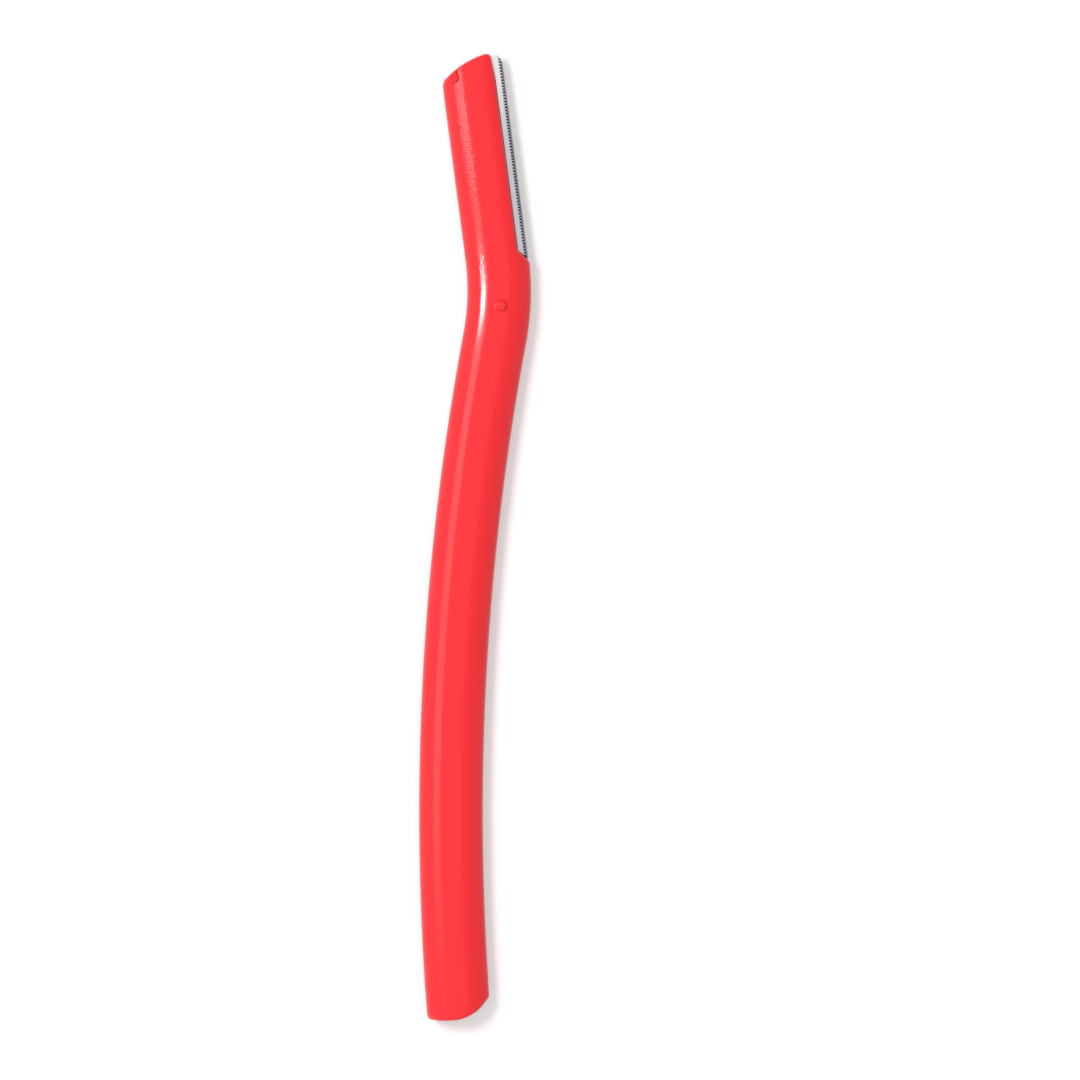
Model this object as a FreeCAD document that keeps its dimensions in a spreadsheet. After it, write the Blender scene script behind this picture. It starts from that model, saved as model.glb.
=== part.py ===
import FreeCAD, Part
import Sketcher
import math
import os
from FreeCAD import Placement, Rotation, Vector

# Eyebrow razor lying on its back, in millimetres and degrees.
# A bent moulded handle holds a ground blade inside a folded sheet comb.
# Each piece is drawn with the head upright: origin at the tip on the bar's middle line,
# +Y out of the tip, +X towards the cutting edge, the blade's middle plane at Z = 0.

sizes = {
    # moulded bar
    "bar_width": 10.0,          # side to side, seen from above
    "bar_thickness": 6.2,       # rest land to top land
    "land_width": 2.4,          # flat along the top and along the underside
    "shoulder_turn": 55.0,      # how far a shoulder turns before the round of the side takes over
    "head_length": 31.96,       # straight head, from the tip to the bend
    "bend_radius": 41.2,        # middle line of the bend
    "bend_turn": 18.04,         # how far the bend turns
    "bow_radius": 408.0,        # middle line of the long bow
    "bow_length": 107.8,        # along the middle line, from the bend to the foot
    "head_tilt": 7.5,           # lean of the head against the part's long axis
    # slanted ends of the bar, each a crowned arc that runs out in a straight slope
    "tip_crown": 4.6,           # highest point of the arc, from the middle line
    "tip_radius": 14.0,
    "tip_slope": 44.0,
    "foot_crown": 1.6,
    "foot_radius": 7.4,
    "foot_slope": 50.0,
    "head_round": 0.3,          # rounded rims of the tip and of the notch
    "foot_round": 0.35,         # rounded rim of the foot
    # notch that the blade looks out of
    "notch_from_bend": 0.86,    # start of the inner corner, up from the bend
    "notch_corner": 1.3,
    "notch_slant": 45.0,
    # moulded nubs for a cap to click over
    "bend_nub_along": 7.9,      # round the bend from the end of the head
    "bend_nub_out": 0.43,       # off the middle line
    "bend_nub_radius": 0.85,
    "bend_nub_flare": 0.2,      # hollow round at its foot
    "bend_nub_side": 0.08,      # straight part of its side
    "bend_nub_dome": 0.4,       # rounded top edge
    "tip_nub_from_side": 1.78,
    "tip_nub_from_tip": 3.43,
    "tip_nub_radius": 0.82,     # round end of a tongue that runs out at the tip
    "tip_nub_turn": 14.5,       # lean of the tongue against the head, away from the blade
    "tip_nub_rise": 0.2,        # above the top land
    "tip_nub_round": 0.15,
    # strip that cuts: the blade and the folded comb share one outline
    "nose_inset": 0.15,         # nose of the comb, in from the side of the bar
    "strip_reach": 1.65,        # notch wall to the nose of the comb
    "strip_width": 4.6,         # hidden back edge to the nose of the comb
    "strip_inset": 0.74,        # crown of the tip to the end of the strip
    "strip_tuck": 3.14,         # hidden below the start of the notch's corner
    "strip_chamfer": 1.6,       # hidden corners
    "nose_round_radius": 3.4,   # arc that takes the corners off the cutting edge
    "nose_round_turn": 37.0,
    "blade_thickness": 0.3,
    "bevel_length": 0.6,        # ground on both faces
    "sheet_thickness": 0.1,     # folded comb
    "sheet_fit": 0.01,          # blade to comb
    "seat_fit": 0.02,           # strip to plastic
    # comb slots
    "slot_width": 0.27,
    "slot_depth": 0.58,         # in from the nose
    "slot_pitch": 0.48,
    "slot_margin": 0.62,        # end of the strip to the middle of the first slot
    # holes in the hidden half of the strip, with a pillar of plastic through each
    "anchor_radius": 0.6,
    "anchor_inset": 1.4,        # back edge to hole centre
    "anchor_pitch": 10.0,
}

doc = FreeCAD.newDocument("EyebrowRazor")
sheet = doc.addObject("Spreadsheet::Sheet", "dims")
for row, (name, number) in enumerate(sizes.items(), 1):
    sheet.set(f"A{row}", name)
    sheet.set(f"B{row}", str(number))
    sheet.setAlias(f"B{row}", name)
doc.recompute()

# expressions that several sketches share
land = "(dims.bar_thickness / 2)"
land_edge = "(dims.land_width / 2)"
shoulder = "(dims.shoulder_turn * 1 deg)"
side_fall = f"({land} * sin({shoulder}) - (dims.bar_width / 2 - {land_edge}) * (1 - cos({shoulder})))"
side_radius = f"({side_fall} / (sin({shoulder}) + cos({shoulder}) - 1))"
nose_x = "(dims.bar_width / 2 - dims.nose_inset)"
wall_x = f"({nose_x} - dims.strip_reach)"
back_x = f"({nose_x} - dims.strip_width)"
fold_x = f"({nose_x} - dims.sheet_thickness)"
edge_x = f"({fold_x} - dims.sheet_fit)"
notch_y = "(dims.notch_from_bend - dims.head_length)"
strip_top = "(-dims.strip_inset)"
strip_foot = f"({notch_y} - dims.strip_tuck)"
strip_length = f"({strip_top} - {strip_foot})"
half_blade = "(dims.blade_thickness / 2)"
half_strip = f"({half_blade} + dims.sheet_fit + dims.sheet_thickness)"
turn = "(dims.bend_turn * 1 deg)"
lean = f"({turn} - dims.bow_length / dims.bow_radius * 1 rad)"
# how far cuts run past the bar, and past the strip
clear = "dims.bar_width"
over = "dims.sheet_thickness"


def amount(expression):
    found = sheet.evalExpression(expression)
    return float(getattr(found, "Value", found))


def point(x, y):
    return Vector(amount(x), amount(y), 0)


def along(angle):
    return Vector(math.cos(math.radians(angle)), math.sin(math.radians(angle)), 0)


def origin_feature(body, role):
    return next(feature for feature in body.Origin.OriginFeatures if feature.Role == role)


def new_sketch(body, name, role, **offset):
    sketch = body.newObject("Sketcher::SketchObject", name)
    sketch.AttachmentSupport = (origin_feature(body, role), [""])
    sketch.MapMode = "FlatFace"
    for axis, expression in offset.items():
        sketch.setExpression(f"AttachmentOffset.Base.{axis}", expression)
    return sketch


def add_line(sketch, first, last):
    return sketch.addGeometry(Part.LineSegment(first, last))


def add_arc(sketch, middle, radius, first_angle, last_angle):
    circle = Part.Circle(middle, Vector(0, 0, 1), radius)
    return sketch.addGeometry(Part.ArcOfCircle(circle, math.radians(first_angle), math.radians(last_angle)))


# points of a sketch as the sketcher numbers them: a piece and a place on it
def start_of(piece):
    return piece, 1


def end_of(piece):
    return piece, 2


def centre_of(piece):
    return piece, 3


def origin():
    return -1, 1


def numbers(where):
    # pieces and points in one row
    return [number for item in where for number in (item if isinstance(item, tuple) else (item,))]


def relate(sketch, kind, *where):
    sketch.addConstraint(Sketcher.Constraint(kind, *numbers(where)))


def relate_each(sketch, kind, pieces):
    for piece in pieces:
        relate(sketch, kind, piece)


def drive(sketch, kind, *where, by):
    # a dimension that follows the sheet
    number = amount(by)
    if kind == "Angle":
        number = math.radians(number)
    index = sketch.addConstraint(Sketcher.Constraint(kind, *numbers(where), number))
    sketch.setExpression(f"Constraints[{index}]", by)


def drive_point(sketch, spot, x, y):
    # a point's place from the sketch origin, on whichever side of the axes it lies
    for kind, expression in (("DistanceX", x), ("DistanceY", y)):
        if amount(expression) < 0:
            drive(sketch, kind, spot, origin(), by=f"-({expression})")
        else:
            drive(sketch, kind, origin(), spot, by=expression)


def join(sketch, pieces):
    # each piece's end is the next one's start
    for first, last in zip(pieces, pieces[1:]):
        relate(sketch, "Coincident", end_of(first), start_of(last))


def add_polygon(sketch, corners):
    # closed outline whose corners are pairs of expressions
    spots = [point(*corner) for corner in corners]
    lines = [add_line(sketch, first, last) for first, last in zip(spots, spots[1:] + spots[:1])]
    join(sketch, lines + lines[:1])
    for line, corner in zip(lines, corners):
        drive_point(sketch, start_of(line), *corner)


def add_circle(sketch, x, y, radius):
    circle = sketch.addGeometry(Part.Circle(point(x, y), Vector(0, 0, 1), amount(radius)))
    drive_point(sketch, centre_of(circle), x, y)
    drive(sketch, "Radius", circle, by=radius)


def pad(body, sketch, name, length):
    raised = body.newObject("PartDesign::Pad", name)
    raised.Profile = sketch
    raised.setExpression("Length", length)
    doc.recompute()
    return raised


def pocket(body, sketch, name, depth=None):
    # a cut both ways from the sketch, right through unless it has a depth
    cut = body.newObject("PartDesign::Pocket", name)
    cut.Profile = sketch
    cut.SideType = "Symmetric"
    cut.Type = "Length" if depth else "ThroughAll"
    if depth:
        cut.setExpression("Length", depth)
    before = cut.BaseFeature.Shape.Volume
    doc.recompute()
    if not cut.Shape.Volume < before:
        raise RuntimeError(f"{name} cuts nothing")
    return cut


def fillet(body, edges, name, radius):
    base = body.Tip
    rounded = body.newObject("PartDesign::Fillet", name)
    rounded.Base = (base, edges)
    rounded.setExpression("Radius", radius)
    doc.recompute()
    return rounded


def draw_spine(body):
    # middle line of the bar: straight head, bend to the left, long bow back to the right
    sketch = new_sketch(body, "Spine", "XY_Plane")
    angle = amount("dims.bend_turn")
    sweep = math.degrees(amount("dims.bow_length / dims.bow_radius"))
    bend_radius = amount("dims.bend_radius")
    bow_radius = amount("dims.bow_radius")
    head_foot = point("0", "-dims.head_length")
    bend_middle = head_foot - Vector(bend_radius, 0, 0)
    bow_middle = bend_middle + along(-angle) * (bend_radius + bow_radius)
    head = add_line(sketch, Vector(0, 0, 0), head_foot)
    bend = add_arc(sketch, bend_middle, bend_radius, -angle, 0)
    bow = add_arc(sketch, bow_middle, bow_radius, 180 - angle, 180 - angle + sweep)
    relate(sketch, "Coincident", start_of(head), origin())
    relate(sketch, "Vertical", head)
    relate(sketch, "Tangent", end_of(head), end_of(bend))
    relate(sketch, "Tangent", start_of(bend), start_of(bow))
    drive(sketch, "Distance", head, by="dims.head_length")
    drive(sketch, "Radius", bend, by="dims.bend_radius")
    drive(sketch, "Angle", bend, by="dims.bend_turn")
    drive(sketch, "Radius", bow, by="dims.bow_radius")
    drive(sketch, "Angle", bow, by="dims.bow_length / dims.bow_radius * 180 / pi")
    return sketch


def draw_bar_section(body):
    # oval with a flat land above and below: shoulder arcs and side arcs run into each other
    sketch = new_sketch(body, "BarSection", "XZ_Plane")
    side_x = f"(dims.bar_width / 2 - {side_radius})"
    shoulder_radius = amount(f"({side_x} - {land_edge}) / sin({shoulder}) + {side_radius}")
    turned = amount("dims.shoulder_turn")
    half_side = 90 - turned
    corner = point(land_edge, land)
    side_middle = point(side_x, "0")

    def add_shoulder(side, level, first_angle):
        middle = Vector(side * corner.x, level * (corner.y - shoulder_radius), 0)
        return add_arc(sketch, middle, shoulder_radius, first_angle, first_angle + turned)

    right = add_arc(sketch, side_middle, amount(side_radius), -half_side, half_side)
    right_top = add_shoulder(1, 1, half_side)
    top = add_line(sketch, corner, Vector(-corner.x, corner.y, 0))
    left_top = add_shoulder(-1, 1, 90)
    left = add_arc(sketch, -side_middle, amount(side_radius), 180 - half_side, 180 + half_side)
    left_under = add_shoulder(-1, -1, 180 + half_side)
    under = add_line(sketch, -corner, Vector(corner.x, -corner.y, 0))
    right_under = add_shoulder(1, -1, 270)
    loop = [right, right_top, top, left_top, left, left_under, under, right_under]
    for first, last in zip(loop, loop[1:] + loop[:1]):
        relate(sketch, "Tangent", end_of(first), start_of(last))
    drive_point(sketch, start_of(top), land_edge, land)
    drive_point(sketch, end_of(top), f"-{land_edge}", land)
    drive_point(sketch, start_of(under), f"-{land_edge}", f"-{land}")
    drive_point(sketch, end_of(under), land_edge, f"-{land}")
    drive_point(sketch, centre_of(right), side_x, "0")
    drive_point(sketch, centre_of(left), f"-{side_x}", "0")
    for side in (right, left):
        drive(sketch, "Radius", side, by=side_radius)
    return sketch


def draw_end_cut(body, name, crown, radius, slope, **offset):
    # everything past a crowned arc whose left end runs out in a straight slope
    sketch = new_sketch(body, name, "XY_Plane", **offset)
    angle = amount(slope)
    bow = amount(radius)
    far = amount(clear)
    middle = point(crown, f"-{radius}")
    right_foot = middle + along(90 - angle) * bow
    left_foot = middle + along(90 + angle) * bow
    run_foot = left_foot + along(180 + angle) * far
    left_top = Vector(run_foot.x, far, 0)
    right_top = Vector(right_foot.x, far, 0)
    arc = add_arc(sketch, middle, bow, 90 - angle, 90 + angle)
    run = add_line(sketch, left_foot, run_foot)
    left = add_line(sketch, run_foot, left_top)
    top = add_line(sketch, left_top, right_top)
    right = add_line(sketch, right_top, right_foot)
    relate(sketch, "Tangent", end_of(arc), start_of(run))
    join(sketch, [run, left, top, right, arc])
    relate(sketch, "Horizontal", start_of(arc), end_of(arc))
    relate(sketch, "Horizontal", top)
    relate_each(sketch, "Vertical", [left, right])
    drive_point(sketch, centre_of(arc), crown, f"-{radius}")
    drive(sketch, "Radius", arc, by=radius)
    drive(sketch, "Angle", arc, by=f"2 * {slope}")
    drive(sketch, "Distance", run, by=clear)
    drive(sketch, "DistanceY", origin(), start_of(top), by=clear)
    return sketch


def draw_notch(body):
    # straight wall behind the strip, a round inner corner and a slanted lower end
    sketch = new_sketch(body, "NotchOutline", "XY_Plane")
    corner = amount("dims.notch_corner")
    slant = amount("dims.notch_slant")
    wall_top = point(wall_x, clear)
    wall_foot = point(wall_x, notch_y)
    outer_top = point(clear, clear)
    middle = wall_foot + Vector(corner, 0, 0)
    slope_top = middle + along(180 + slant) * corner
    slope_way = along(slant - 90)
    slope_foot = slope_top + slope_way * ((outer_top.x - slope_top.x) / slope_way.x)
    wall = add_line(sketch, wall_top, wall_foot)
    bend = add_arc(sketch, middle, corner, 180, 180 + slant)
    slope = add_line(sketch, slope_top, slope_foot)
    outside = add_line(sketch, slope_foot, outer_top)
    top = add_line(sketch, outer_top, wall_top)
    relate(sketch, "Tangent", end_of(wall), start_of(bend))
    relate(sketch, "Tangent", end_of(bend), start_of(slope))
    join(sketch, [slope, outside, top, wall])
    relate(sketch, "Horizontal", top)
    relate_each(sketch, "Vertical", [wall, outside])
    drive_point(sketch, end_of(wall), wall_x, notch_y)
    drive(sketch, "Radius", bend, by="dims.notch_corner")
    drive(sketch, "Angle", bend, by="dims.notch_slant")
    drive_point(sketch, end_of(outside), clear, clear)
    return sketch


def draw_bend_nub(body):
    # half profile, from the nub's axis out: hollow foot, short side and domed edge
    spin = "(dims.bend_nub_along / dims.bend_radius * 1 rad)"
    ring = "(dims.bend_radius + dims.bend_nub_out)"
    sketch = new_sketch(body, "BendNubProfile", "XZ_Plane",
                        x=f"{ring} * cos({spin}) - dims.bend_radius",
                        z=f"{ring} * sin({spin}) + dims.head_length")
    foot = f"({land} + dims.bend_nub_flare)"
    shoulder = f"({foot} + dims.bend_nub_side)"
    crown = f"({shoulder} + dims.bend_nub_dome)"
    side = "dims.bend_nub_radius"
    skirt = f"({side} + dims.bend_nub_flare)"
    cap = f"({side} - dims.bend_nub_dome)"
    axis = add_line(sketch, point("0", crown), point("0", "0"))
    base = add_line(sketch, point("0", "0"), point(skirt, "0"))
    root = add_line(sketch, point(skirt, "0"), point(skirt, land))
    flare = add_arc(sketch, point(skirt, foot), amount("dims.bend_nub_flare"), 180, 270)
    wall = add_line(sketch, point(side, foot), point(side, shoulder))
    dome = add_arc(sketch, point(cap, shoulder), amount("dims.bend_nub_dome"), 0, 90)
    top = add_line(sketch, point(cap, crown), point("0", crown))
    relate(sketch, "Coincident", end_of(axis), origin())
    join(sketch, [top, axis, base, root])
    relate(sketch, "Coincident", end_of(root), end_of(flare))
    relate(sketch, "Tangent", start_of(flare), start_of(wall))
    relate(sketch, "Tangent", end_of(wall), start_of(dome))
    relate(sketch, "Tangent", end_of(dome), start_of(top))
    relate_each(sketch, "Vertical", [axis, root, wall])
    relate_each(sketch, "Horizontal", [base, top])
    relate(sketch, "Vertical", centre_of(flare), end_of(flare))
    drive(sketch, "Radius", flare, by="dims.bend_nub_flare")
    drive(sketch, "Radius", dome, by="dims.bend_nub_dome")
    drive(sketch, "Distance", wall, by="dims.bend_nub_side")
    drive_point(sketch, end_of(root), skirt, land)
    return sketch


def draw_tip_nub(body):
    # tongue with a round end, whose straight sides run out past the tip
    sketch = new_sketch(body, "TipNubOutline", "XY_Plane")
    x = "dims.tip_nub_from_side - dims.bar_width / 2"
    y = "-dims.tip_nub_from_tip"
    turned = amount("dims.tip_nub_turn")
    radius = amount("dims.tip_nub_radius")
    middle = point(x, y)
    across = along(turned) * radius
    run = along(90 + turned) * amount(clear)
    end = add_arc(sketch, middle, radius, 180 + turned, 360 + turned)
    right = add_line(sketch, middle + across, middle + across + run)
    top = add_line(sketch, middle + across + run, middle - across + run)
    left = add_line(sketch, middle - across + run, middle - across)
    relate(sketch, "Tangent", end_of(end), start_of(right))
    relate(sketch, "Tangent", end_of(left), start_of(end))
    join(sketch, [right, top, left])
    relate(sketch, "Perpendicular", right, top)
    relate(sketch, "Parallel", right, left)
    drive_point(sketch, centre_of(end), x, y)
    drive(sketch, "Radius", end, by="dims.tip_nub_radius")
    drive(sketch, "Angle", right, by="90 + dims.tip_nub_turn")
    drive(sketch, "Distance", right, by=clear)
    return sketch


def add_anchors(sketch, radius):
    # one in the middle of the strip and one each way along it
    middle = f"({strip_top} + {strip_foot}) / 2"
    for step in (-1, 0, 1):
        add_circle(sketch, f"{back_x} + dims.anchor_inset", f"{middle} + {step} * dims.anchor_pitch", radius)


def nose_round_middle(level, inward):
    # centre of the arc at one end of the cutting edge, a fit outside the edge so that they cross
    x = f"({nose_x} + dims.seat_fit - dims.nose_round_radius)"
    y = f"({level} + {inward} * dims.nose_round_radius * sin(dims.nose_round_turn * 1 deg))"
    return x, y


def draw_seat(body):
    # the strip's outline with the fit all round, less the anchor pillars
    sketch = new_sketch(body, "SeatOutline", "XY_Plane")
    left = f"{back_x} - dims.seat_fit"
    right = f"{nose_x} + dims.seat_fit"
    top = f"{strip_top} + dims.seat_fit"
    foot = f"{strip_foot} - dims.seat_fit"
    shoulder = f"{left} + dims.strip_chamfer"
    corners = [(right, top), (shoulder, top), (left, f"{top} - dims.strip_chamfer"),
               (left, f"{foot} + dims.strip_chamfer"), (shoulder, foot)]
    spots = [point(*corner) for corner in corners]
    lines = [add_line(sketch, first, last) for first, last in zip(spots, spots[1:])]
    middle = point(*nose_round_middle(strip_foot, 1))
    radius = amount("dims.nose_round_radius + dims.seat_fit")
    to_nose = -math.degrees(math.acos((amount(right) - middle.x) / radius))
    to_foot = math.degrees(math.asin((amount(foot) - middle.y) / radius))
    foot_line = add_line(sketch, spots[-1], middle + along(to_foot) * radius)
    arc = add_arc(sketch, middle, radius, to_foot, to_nose)
    nose_line = add_line(sketch, middle + along(to_nose) * radius, spots[0])
    join(sketch, lines + [foot_line, arc, nose_line] + lines[:1])
    for line, corner in zip(lines + [foot_line], corners):
        drive_point(sketch, start_of(line), *corner)
    relate(sketch, "Horizontal", foot_line)
    relate(sketch, "Vertical", nose_line)
    drive_point(sketch, centre_of(arc), *nose_round_middle(strip_foot, 1))
    drive(sketch, "Radius", arc, by="dims.nose_round_radius + dims.seat_fit")
    add_anchors(sketch, "dims.anchor_radius - dims.seat_fit")
    return sketch


def add_nose_cut(sketch, level, inward):
    # what the arc takes off one end of the cutting edge
    radius = amount("dims.nose_round_radius")
    middle = point(*nose_round_middle(level, inward))
    # the arc runs on past the strip's end by a sixth of its turn
    span = "dims.nose_round_turn * 7 / 6"
    tip_angle = -inward * amount(span)
    tip = middle + along(tip_angle) * radius
    crest = middle + Vector(radius, 0, 0)
    outside = f"{nose_x} + {over}"
    out_x = amount(outside)
    arc = add_arc(sketch, middle, radius, *sorted((0, tip_angle)))
    crest_of, tip_of = (start_of, end_of) if inward < 0 else (end_of, start_of)
    low = add_line(sketch, crest, Vector(out_x, crest.y, 0))
    side = add_line(sketch, Vector(out_x, crest.y, 0), Vector(out_x, tip.y, 0))
    high = add_line(sketch, Vector(out_x, tip.y, 0), tip)
    relate(sketch, "Coincident", crest_of(arc), start_of(low))
    join(sketch, [low, side, high])
    relate(sketch, "Coincident", end_of(high), tip_of(arc))
    relate_each(sketch, "Horizontal", [low, high])
    relate(sketch, "Vertical", side)
    relate(sketch, "Horizontal", centre_of(arc), crest_of(arc))
    drive_point(sketch, centre_of(arc), *nose_round_middle(level, inward))
    drive(sketch, "Radius", arc, by="dims.nose_round_radius")
    drive(sketch, "Angle", arc, by=span)
    drive(sketch, "DistanceX", origin(), start_of(side), by=outside)


def draw_corner_cuts(body):
    # an arc off each end of the cutting edge and a chamfer off each hidden corner
    sketch = new_sketch(body, "CornerOutline", "XY_Plane")
    inner = f"({back_x} - {over})"
    for level, inward in ((strip_top, -1), (strip_foot, 1)):
        add_nose_cut(sketch, level, inward)
        past = f"({level} - {inward} * {over})"
        reach = f"(dims.strip_chamfer + 2 * {over})"
        corners = [(inner, past), (f"{inner} + {reach}", past), (inner, f"{past} + {inward} * {reach}")]
        add_polygon(sketch, corners)
    return sketch


def draw_blade_section(body):
    # flat strip ground to an edge from both faces
    sketch = new_sketch(body, "BladeSection", "XZ_Plane", z="dims.strip_inset")
    bevel = f"({edge_x} - dims.bevel_length)"
    add_polygon(sketch, [(edge_x, "0"), (bevel, half_blade), (back_x, half_blade),
                         (back_x, f"-{half_blade}"), (bevel, f"-{half_blade}")])
    return sketch


def draw_guard_section(body):
    # sheet folded over the blade: flat flanks, a taper beside the bevels, a nose pressed flat over the edge
    sketch = new_sketch(body, "GuardSection", "XZ_Plane", z="dims.strip_inset")
    taper = f"atan({half_blade} / dims.bevel_length)"
    inner = f"({half_strip} - dims.sheet_thickness)"
    knee = f"({fold_x} - {inner} / tan({taper}))"
    outer_knee = f"({knee} + dims.sheet_thickness * tan({taper} / 2))"
    half_nose = f"(dims.sheet_thickness * tan(45 deg - {taper} / 2))"
    outside = [(nose_x, half_nose), (outer_knee, half_strip), (back_x, half_strip)]
    upper = outside + [(back_x, inner), (knee, inner)]
    lower = [(x, f"-{z}") for x, z in reversed(upper)]
    add_polygon(sketch, upper + [(fold_x, "0")] + lower)
    return sketch


def draw_slot(body):
    # first comb slot: a straight saw cut, open at the nose
    sketch = new_sketch(body, "SlotOutline", "XY_Plane")
    root = f"{nose_x} - dims.slot_depth"
    mouth = f"{nose_x} + {over}"
    high = f"{strip_top} - dims.slot_margin + dims.slot_width / 2"
    low = f"{high} - dims.slot_width"
    add_polygon(sketch, [(mouth, high), (root, high), (root, low), (mouth, low)])
    return sketch


def is_upright(face):
    # a wall cut straight down through the bar
    low_u, high_u, low_v, high_v = face.ParameterRange
    steps = [step / 4 for step in range(5)]
    return all(abs(face.normalAt(low_u + (high_u - low_u) * i, low_v + (high_v - low_v) * j).z) < 1e-6
               for i in steps for j in steps)


def rim_edges(shape, high_y, low_y):
    # edges between a cut wall and the bar's skin, and sharp corners between two cut walls
    rims = []
    for index, edge in enumerate(shape.Edges, 1):
        if not low_y < edge.BoundBox.Center.y < high_y:
            continue
        walls = [face for face in shape.ancestorsOfType(edge, Part.Face) if is_upright(face)]
        spot = edge.valueAt(edge.FirstParameter)
        facing = [face.normalAt(*face.Surface.parameter(spot)) for face in walls]
        sharp = len(facing) == 2 and facing[0].cross(facing[1]).Length > 0.1
        if len(walls) == 1 or sharp:
            rims.append(f"Edge{index}")
    return rims


def level_edges(shape, level):
    # edges that lie flat at one height
    return [f"Edge{index}" for index, edge in enumerate(shape.Edges, 1)
            if math.isclose(edge.BoundBox.ZMin, level, abs_tol=1e-6)
            and math.isclose(edge.BoundBox.ZMax, level, abs_tol=1e-6)]


def make_handle():
    body = doc.addObject("PartDesign::Body", "handle")
    bar = body.newObject("PartDesign::AdditivePipe", "Bar")
    bar.Spine = (draw_spine(body), ["Edge1", "Edge2", "Edge3"])
    bar.Profile = draw_bar_section(body)
    doc.recompute()
    tip = draw_end_cut(body, "TipOutline", "dims.tip_crown", "dims.tip_radius", "dims.tip_slope")
    pocket(body, tip, "TipCut")
    # the foot is cut the same way, at the end of the bow and turned to face out of it
    foot_x = f"dims.bow_radius * (cos({turn}) - cos({lean})) - dims.bend_radius * (1 - cos({turn}))"
    foot_y = (f"dims.bow_radius * (sin({lean}) - sin({turn})) - dims.bend_radius * sin({turn})"
              " - dims.head_length")
    foot = draw_end_cut(body, "FootOutline", "dims.foot_crown", "dims.foot_radius", "dims.foot_slope",
                        x=foot_x, y=foot_y)
    foot.setExpression("AttachmentOffset.Rotation.Angle", f"180 deg - {lean}")
    pocket(body, foot, "FootCut")
    notch = pocket(body, draw_notch(body), "Notch")
    mid_bow = amount(foot_y) / 2
    head_rounds = fillet(body, rim_edges(notch.Shape, math.inf, mid_bow), "HeadRounds", "dims.head_round")
    fillet(body, rim_edges(head_rounds.Shape, mid_bow, -math.inf), "FootRounds", "dims.foot_round")
    bend_nub_profile = draw_bend_nub(body)
    bend_nub = body.newObject("PartDesign::Revolution", "BendNub")
    bend_nub.Profile = bend_nub_profile
    bend_nub.ReferenceAxis = (bend_nub_profile, ["V_Axis"])
    nub_top = f"{land} + dims.tip_nub_rise"
    tip_nub = pad(body, draw_tip_nub(body), "TipNub", nub_top)
    fillet(body, level_edges(tip_nub.Shape, amount(nub_top)), "TipNubRound", "dims.tip_nub_round")
    pocket(body, tip, "TipNubTrim")
    pocket(body, draw_seat(body), "StripSeat", depth=f"2 * ({half_strip} + dims.seat_fit)")
    return body


def make_strip_piece(label, draw_section):
    # a section run along the strip, its corners trimmed and its anchor holes punched
    body = doc.addObject("PartDesign::Body", label)
    pad(body, draw_section(body), "Run", strip_length)
    pocket(body, draw_corner_cuts(body), "Corners")
    holes = new_sketch(body, "AnchorOutline", "XY_Plane")
    add_anchors(holes, "dims.anchor_radius")
    pocket(body, holes, "AnchorHoles")
    return body


def cut_comb(body):
    # slots at a steady pitch, as many as the strip has room for
    slot = pocket(body, draw_slot(body), "Slot")
    comb = body.newObject("PartDesign::LinearPattern", "Comb")
    comb.Originals = [slot]
    comb.Direction = (origin_feature(body, "Y_Axis"), [""])
    comb.Reversed = True
    comb.Mode = "Spacing"
    comb.setExpression("Offset", "dims.slot_pitch")
    comb.setExpression("Occurrences", f"floor(({strip_length} - 2 * dims.slot_margin) / dims.slot_pitch) + 1")
    body.Tip = comb
    doc.recompute()
    return comb.Occurrences


handle = make_handle()
blade = make_strip_piece("blade", draw_blade_section)
guard = make_strip_piece("guard", draw_guard_section)
slots = cut_comb(guard)
pieces = [handle, blade, guard]

# lean the head, centre the part on its origin and rest its underside on Z = 0
head_lean = Rotation(Vector(0, 0, 1), amount("dims.head_tilt"))
handle.Placement = Placement(Vector(0, 0, 0), head_lean)
doc.recompute()
leant = handle.Shape.optimalBoundingBox().Center
for piece in pieces:
    piece.Placement = Placement(Vector(-leant.x, -leant.y, amount(land)), head_lean)
doc.recompute()

for item in doc.Objects:
    if {"Invalid", "Error"} & set(item.State):
        raise RuntimeError(f"{item.Label}: {item.State}")
for piece in pieces:
    if piece.Shape.isNull() or not piece.Shape.isValid() or len(piece.Shape.Solids) != 1:
        raise RuntimeError(f"{piece.Label} is not one sound solid")

os.makedirs("parts", exist_ok=True)
for piece in pieces:
    piece.Shape.exportStep(f"parts/{piece.Label}.step")
    print(piece.Label, "volume", round(piece.Shape.Volume, 2), "mm3")
print("comb slots", slots)
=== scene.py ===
from math import cos, pi, radians, sin, tan

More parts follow.
